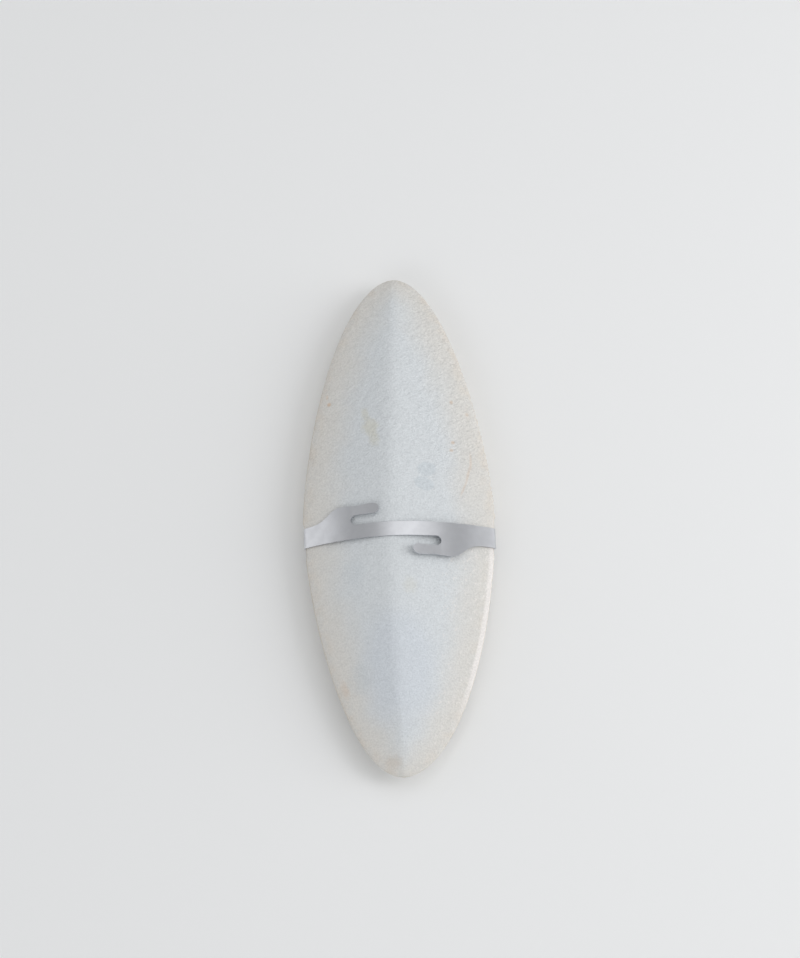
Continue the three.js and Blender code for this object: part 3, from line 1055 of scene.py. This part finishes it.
        placed = flat * turn + middle
        upper = self.path[self.upper]
        lift = self.finger_lift * np.clip(along, 0.0, 1.0) ** 1.5
        z = np.interp(placed[..., 0], upper[:, 0], upper[:, 1]) + lift
        return np.concatenate((placed, z[..., None]), axis=-1)

    def build(self) -> bpy.types.Object:
        """Builds the strap and hooks as open sheets, welds them, and gives them thickness and rounded edges.

        Returns:
            The clip.
        """
        strap, root = self._strap()
        mirrored = slice(len(strap) - root.stop, len(strap) - root.start)
        grids = [strap, self._hook(strap[root, -1], 1.0), self._hook(strap[mirrored, 0][::-1], -1.0)]
        points, faces, offset = [], [], 0
        for grid in grids:
            index = offset + np.arange(grid.shape[0] * grid.shape[1]).reshape(grid.shape[:2])
            faces.append(grid_faces(index))
            points.append(grid.reshape(-1, 3))
            offset += index.size
        mesh = bpy.data.meshes.new("clip_sheet")
        mesh.from_pydata(np.vstack(points), [], np.vstack(faces).tolist())
        work = bmesh.new()
        work.from_mesh(mesh)
        bmesh.ops.remove_doubles(work, verts=work.verts, dist=0.002 * MM)
        bmesh.ops.dissolve_degenerate(work, edges=work.edges, dist=0.001 * MM)
        work.to_mesh(mesh)
        work.free()
        smooth_faces(mesh)
        clip = link("clip_sheet", mesh)
        thick = clip.modifiers.new("thickness", "SOLIDIFY")
        thick.thickness, thick.offset, thick.use_even_offset = self.sheet, 0.0, True
        rounded = clip.modifiers.new("stamped_edge", "BEVEL")
        rounded.width, rounded.segments, rounded.limit_method = self.edge_round, 2, "ANGLE"
        rounded.angle_limit = math.radians(50.0)
        rounded.harden_normals = True
        return clip

    def dress(self, clip: bpy.types.Object) -> None:
        """Gives the clip its sheet metal and its place in the frame."""
        clip.data.materials.append(self.finish.material())
        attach(clip, "root")
        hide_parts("clip")


@dataclass(frozen=True)
class SoftLight:
    """One soft rectangular lamp. Where it isn't mirrored, it lights surfaces but leaves no reflection."""

    name: str
    place: Triple
    size: Pair
    power: float
    mirrored: bool = True


@dataclass
class Studio:
    """The pale table, the soft lamps and the camera that looks down on the bone from its rear end."""

    target: Vector
    elevation: float = 70.5
    roll: float = 1.95
    lens: float = 120.0
    sensor: float = 36.0
    distance: float = 0.932
    aim: Pair = (0.25 * MM, 12.1 * MM)
    sky: float = 0.45
    sky_colour: Colour = (0.985, 0.995, 1.0)
    floor_size: float = 6.0
    floor_gap: float = 0.02 * MM
    finish: FloorFinish = field(default_factory=FloorFinish)
    lamps: tuple[SoftLight, ...] = (
        SoftLight("overhead", (0.18, 0.34, 1.0), (0.72, 0.9), 1.7),
        SoftLight("right_panel", (0.75, 0.27, 0.12), (0.15, 0.7), 0.35),
        SoftLight("left_panel", (-0.75, 0.27, 0.2), (0.2, 0.7), 0.4),
        SoftLight("side_key", (0.75, -0.08, 0.42), (0.4, 1.0), 3.5, False),
        SoftLight("rear_fill", (-0.4, -0.85, 0.75), (0.8, 0.5), 1.65, False),
    )

    def floor(self) -> None:
        """Lays the table as a large flat grid just under the object."""
        half = self.floor_size / 2.0
        x, y = np.meshgrid(np.linspace(-half, half, 9), np.linspace(-half, half, 9), indexing="ij")
        faces = grid_faces(np.arange(x.size).reshape(x.shape))
        mesh = bpy.data.meshes.new("table_top")
        points = np.stack((x.ravel(), y.ravel(), np.full(x.size, -self.floor_gap)), axis=-1)
        mesh.from_pydata(points, [], faces.tolist())
        mesh.materials.append(self.finish.material())
        link("table_top", mesh)

    def light(self) -> None:
        """Sets the even surrounding light and hangs the soft lamps, each aimed at the object."""
        world = bpy.data.worlds.new("studio")
        world.use_nodes = True
        background = world.node_tree.nodes["Background"]
        background.inputs["Color"].default_value = (*self.sky_colour, 1.0)
        background.inputs["Strength"].default_value = self.sky
        bpy.context.scene.world = world
        for lamp in self.lamps:
            data = bpy.data.lights.new(lamp.name, "AREA")
            data.shape, data.size, data.size_y = "RECTANGLE", *lamp.size
            data.energy = lamp.power
            made = link(lamp.name, data)
            made.location, made.visible_glossy = lamp.place, lamp.mirrored
            made.rotation_euler = (self.target - made.location).to_track_quat("-Z", "Y").to_euler()

    def camera(self) -> None:
        """Places the camera in front at its elevation, rolled a little and aimed a little past the middle."""
        data = bpy.data.cameras.new("camera")
        data.lens, data.sensor_width, data.clip_start = self.lens, self.sensor, 0.05
        made = link("camera", data)
        tilt = math.radians(self.elevation)
        back = Vector((0.0, -math.cos(tilt), math.sin(tilt)))
        level = (-back).to_track_quat("-Z", "Y").to_matrix()
        turned = level @ Matrix.Rotation(-math.radians(self.roll), 3, "Z")
        made.rotation_euler = turned.to_euler()
        made.location = self.target + back * self.distance + turned @ Vector((*self.aim, 0.0))
        bpy.context.scene.camera = made

    def build(self) -> None:
        """Sets up the whole studio."""
        self.camera()
        self.floor()
        self.light()
        bpy.context.scene.view_settings.view_transform = "Standard"


def main() -> None:
    """Builds the studio, the bone and the clip."""
    logging.basicConfig(level=logging.INFO, format="%(name)s: %(message)s")
    bone_low, bone_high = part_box("cuttlebone")
    clip_low, clip_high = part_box("clip")
    clip_y = (clip_low.y + clip_high.y) / 2.0
    bone = Cuttlebone(bone_low, bone_high, clip_y)
    Studio(Vector((0.0, 0.0, bone.margin_z))).build()
    clip = Clip(bone, clip_y)
    for maker in (bone, clip):
        piece = maker.build()
        maker.dress(piece)
        log.info("%s: %d faces, finish %s", piece.name, len(piece.data.polygons), type(maker.finish).__name__)


if __name__ == "__main__":
    main()
